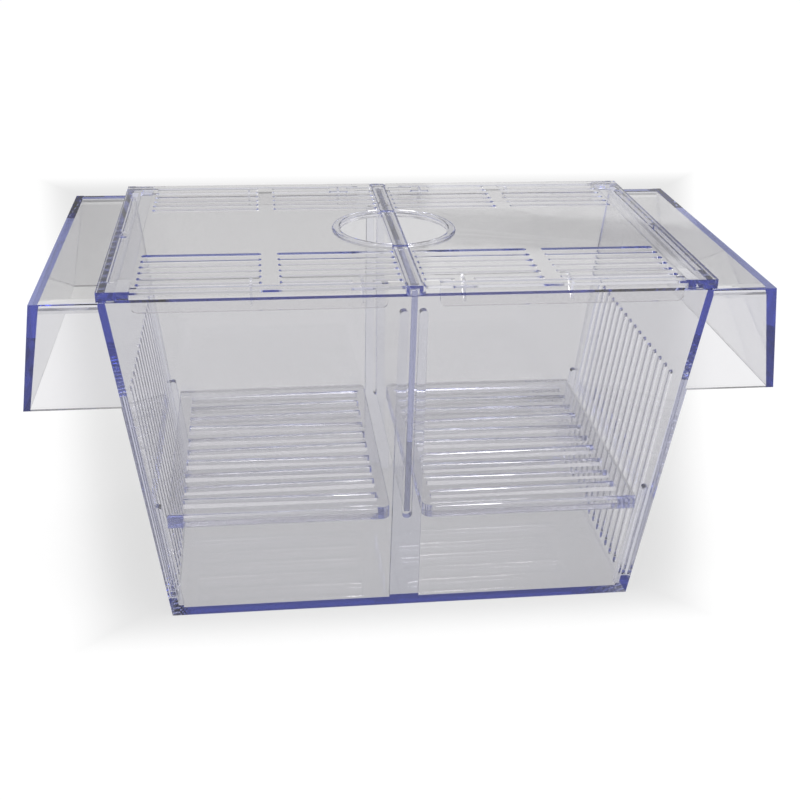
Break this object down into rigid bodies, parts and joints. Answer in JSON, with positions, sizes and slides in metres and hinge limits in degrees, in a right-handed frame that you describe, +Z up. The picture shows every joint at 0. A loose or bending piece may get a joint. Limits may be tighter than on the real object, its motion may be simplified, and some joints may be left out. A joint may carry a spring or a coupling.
{
  "type": "fish breeding box",
  "caption": "Clear hanging tank with side floats, slotted end walls, a lift-off slotted lid with a round feeding hole, a sliding divider plate and slotted floor grids.",
  "frame": {"origin": "centre of the underside of the tank floor", "axes": "+X along the length to the right, +Y to the back, +Z up"},
  "size_m": [0.24, 0.1166, 0.1214],
  "materials": {
    "clear_polystyrene": "polished and see-through, with blue edges"
  },
  "bodies": {
    "tank": {"front_wall": "clear_polystyrene", "back_wall": "clear_polystyrene", "left_end_wall": "clear_polystyrene", "right_end_wall": "clear_polystyrene", "floor_plate": "clear_polystyrene", "left_float_top": "clear_polystyrene", "left_float_side": "clear_polystyrene", "left_float_front": "clear_polystyrene", "left_float_back": "clear_polystyrene", "right_float_top": "clear_polystyrene", "right_float_side": "clear_polystyrene", "right_float_front": "clear_polystyrene", "right_float_back": "clear_polystyrene", "front_divider_rail": "clear_polystyrene", "back_divider_rail": "clear_polystyrene", "front_left_corner_rib": "clear_polystyrene", "front_right_corner_rib": "clear_polystyrene", "back_left_corner_rib": "clear_polystyrene", "back_right_corner_rib": "clear_polystyrene"},
    "lid": {"lid_left_panel": "clear_polystyrene", "lid_right_panel": "clear_polystyrene", "lid_spine": "clear_polystyrene", "lid_left_end_bar": "clear_polystyrene", "lid_right_end_bar": "clear_polystyrene", "lid_hole_ring": "clear_polystyrene", "lid_front_left_foot": "clear_polystyrene", "lid_front_right_foot": "clear_polystyrene", "lid_back_left_foot": "clear_polystyrene", "lid_back_right_foot": "clear_polystyrene", "lid_front_left_lip": "clear_polystyrene", "lid_front_right_lip": "clear_polystyrene", "lid_back_left_lip": "clear_polystyrene", "lid_back_right_lip": "clear_polystyrene"},
    "divider": {"divider_plate": "clear_polystyrene"},
    "left_floor_grid": {"left_grid": "clear_polystyrene"},
    "right_floor_grid": {"right_grid": "clear_polystyrene"}
  },
  "joints": [
    {"name": "lid_lift", "type": "slide", "parent": "tank", "child": "lid", "axis": [0, 0, 1], "range_m": [0, 0.25]},
    {"name": "divider_lift", "type": "slide", "parent": "tank", "child": "divider", "axis": [0, 0, 1], "range_m": [0, 0.125]},
    {"name": "left_grid_lift", "type": "slide", "parent": "tank", "child": "left_floor_grid", "axis": [0, 0, 1], "range_m": [0, 0.09]},
    {"name": "right_grid_lift", "type": "slide", "parent": "tank", "child": "right_floor_grid", "axis": [0, 0, 1], "range_m": [0, 0.09]}
  ],
  "couplings": [
    {"joint": "divider_lift", "follows": "lid_lift", "ratio": 0.5},
    {"joint": "left_grid_lift", "follows": "lid_lift", "ratio": 0.36},
    {"joint": "right_grid_lift", "follows": "lid_lift", "ratio": 0.36}
  ]
}
